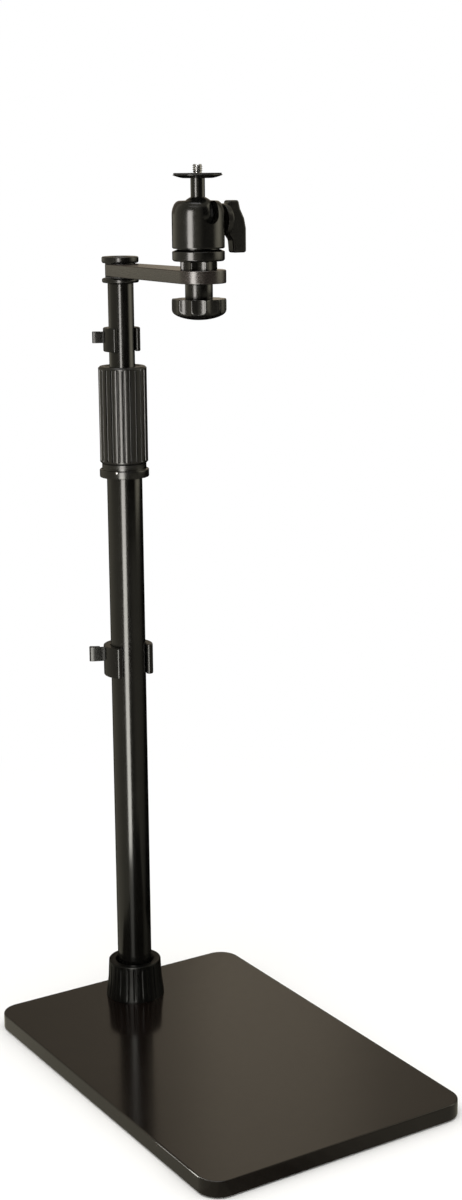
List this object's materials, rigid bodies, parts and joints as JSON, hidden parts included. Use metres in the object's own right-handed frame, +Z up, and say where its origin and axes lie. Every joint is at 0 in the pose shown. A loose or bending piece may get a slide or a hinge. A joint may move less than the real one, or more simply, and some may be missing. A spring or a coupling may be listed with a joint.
{
  "type": "portable projector stand",
  "caption": "Free-standing stand: weighted rectangular base, telescopic pole with twist lock, swing arm and ball head with a mounting screw for a small projector.",
  "frame": {"origin": "centre of the base's footprint, at the underside of its rubber feet", "axes": "+Z up along the pole, +Y from the middle of the base towards the pole, so the arm reaches towards -Y, and X across the base"},
  "size_m": [0.2, 0.3, 0.6192],
  "materials": {
    "base_coat": "satin",
    "foot_rubber": "matte",
    "zinc_steel": "satin",
    "collar_plastic": "gloss",
    "tube_coat": "gloss",
    "clip_plastic": "satin",
    "lock_plastic": "satin",
    "collet_plastic": "satin",
    "disc_coat": "gloss",
    "arm_coat": "satin",
    "head_alloy": "gloss",
    "knob_plastic": "satin",
    "ball_coat": "gloss",
    "pad_rubber": "matte"
  },
  "bodies": {
    "stand": {"base_plate": "base_coat", "rubber_feet": "foot_rubber", "base_bolt": "zinc_steel", "base_washer": "zinc_steel", "base_collar": "collar_plastic", "foot_plug": "zinc_steel", "lower_tube": "tube_coat", "lower_cable_clip": "clip_plastic", "lock_ring": "lock_plastic", "collet": "collet_plastic"},
    "grip": {"lock_grip": "lock_plastic"},
    "mast": {"upper_tube": "tube_coat", "tube_guide": "collet_plastic", "upper_cable_clip": "clip_plastic", "pole_flange": "disc_coat", "swing_washers": "collet_plastic", "pole_cap": "disc_coat"},
    "arm": {"swing_arm": "arm_coat", "clamp_spacer": "disc_coat", "head_neck": "head_alloy", "pan_base": "head_alloy"},
    "clamp": {"clamp_knob": "knob_plastic", "clamp_stud": "zinc_steel"},
    "head": {"ball_housing": "head_alloy"},
    "lock": {"lock_screw": "zinc_steel", "lock_lever": "knob_plastic"},
    "ball": {"ball": "ball_coat"},
    "platform": {"ball_stem": "ball_coat", "platform_disc": "head_alloy", "platform_pad": "pad_rubber", "mount_screw": "zinc_steel"}
  },
  "joints": [
    {"name": "twist_lock", "type": "hinge", "parent": "stand", "child": "grip", "pos_m": [0, 0.1195, 0.447], "axis": [0, 0, 1], "range_deg": [0, 180]},
    {"name": "pole_extension", "type": "slide", "parent": "stand", "child": "mast", "axis": [0, 0, 1], "range_m": [-0.01, 0.27]},
    {"name": "arm_swing", "type": "hinge", "parent": "mast", "child": "arm", "pos_m": [0, 0.1195, 0.548], "axis": [0, 0, 1], "continuous": true},
    {"name": "clamp_turn", "type": "hinge", "parent": "arm", "child": "clamp", "pos_m": [0, 0.015, 0.53], "axis": [0, 0, 1], "continuous": true},
    {"name": "head_pan", "type": "hinge", "parent": "arm", "child": "head", "pos_m": [0, 0.015, 0.58], "axis": [0, 0, 1], "continuous": true},
    {"name": "lock_lever_turn", "type": "hinge", "parent": "head", "child": "lock", "pos_m": [0.02, 0.015, 0.5841], "axis": [1, 0, 0], "range_deg": [-90, 90]},
    {"name": "ball_tilt", "type": "hinge", "parent": "head", "child": "ball", "pos_m": [0, 0.015, 0.5876], "axis": [1, 0, 0], "range_deg": [-20, 90]},
    {"name": "platform_spin", "type": "hinge", "parent": "ball", "child": "platform", "pos_m": [0, 0.015, 0.6], "axis": [0, 0, 1], "continuous": true}
  ]
}
